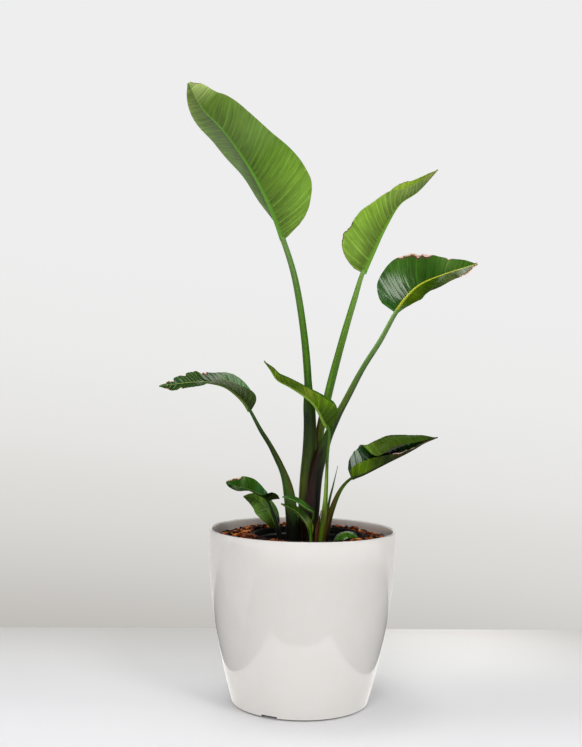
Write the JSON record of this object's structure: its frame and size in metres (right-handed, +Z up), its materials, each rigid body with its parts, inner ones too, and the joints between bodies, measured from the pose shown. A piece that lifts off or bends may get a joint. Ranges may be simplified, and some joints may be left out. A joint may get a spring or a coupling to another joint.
{
  "type": "potted bird of paradise plant",
  "caption": "Young clump of long-stalked paddle-shaped leaves in a nursery pot, bedded in bark inside a round glossy planter.",
  "frame": {"origin": "on the floor, under the axis of the planter", "axes": "+Z up; -Y to the front of the plant as pictured; +X to its right"},
  "size_m": [0.5799, 0.35, 1.1459],
  "materials": {
    "glossy_shell": "smooth high gloss",
    "nursery_plastic": "satin, thin moulded",
    "bark": "rough bark chips",
    "soil": "crumbly, with fibres",
    "leaf_tissue": "waxy satin, side veins",
    "dry_sheath": "dry, papery"
  },
  "bodies": {
    "root": {"planter": "glossy_shell", "nursery_pot": "nursery_plastic", "bark_mulch": "bark", "potting_soil": "soil", "leaf_tall_left": "leaf_tissue", "leaf_tall_middle": "leaf_tissue", "leaf_upper_right": "leaf_tissue", "leaf_front_shoot": "leaf_tissue", "leaf_low_left": "leaf_tissue", "leaf_low_right": "leaf_tissue", "leaf_sprout_left": "leaf_tissue", "leaf_sprout_behind": "leaf_tissue", "leaf_sprout_front": "leaf_tissue", "leaf_sprout_front_low": "leaf_tissue", "leaf_sprout_right": "leaf_tissue", "rolled_new_leaf": "leaf_tissue", "dry_bract": "dry_sheath"}
  },
  "joints": []
}
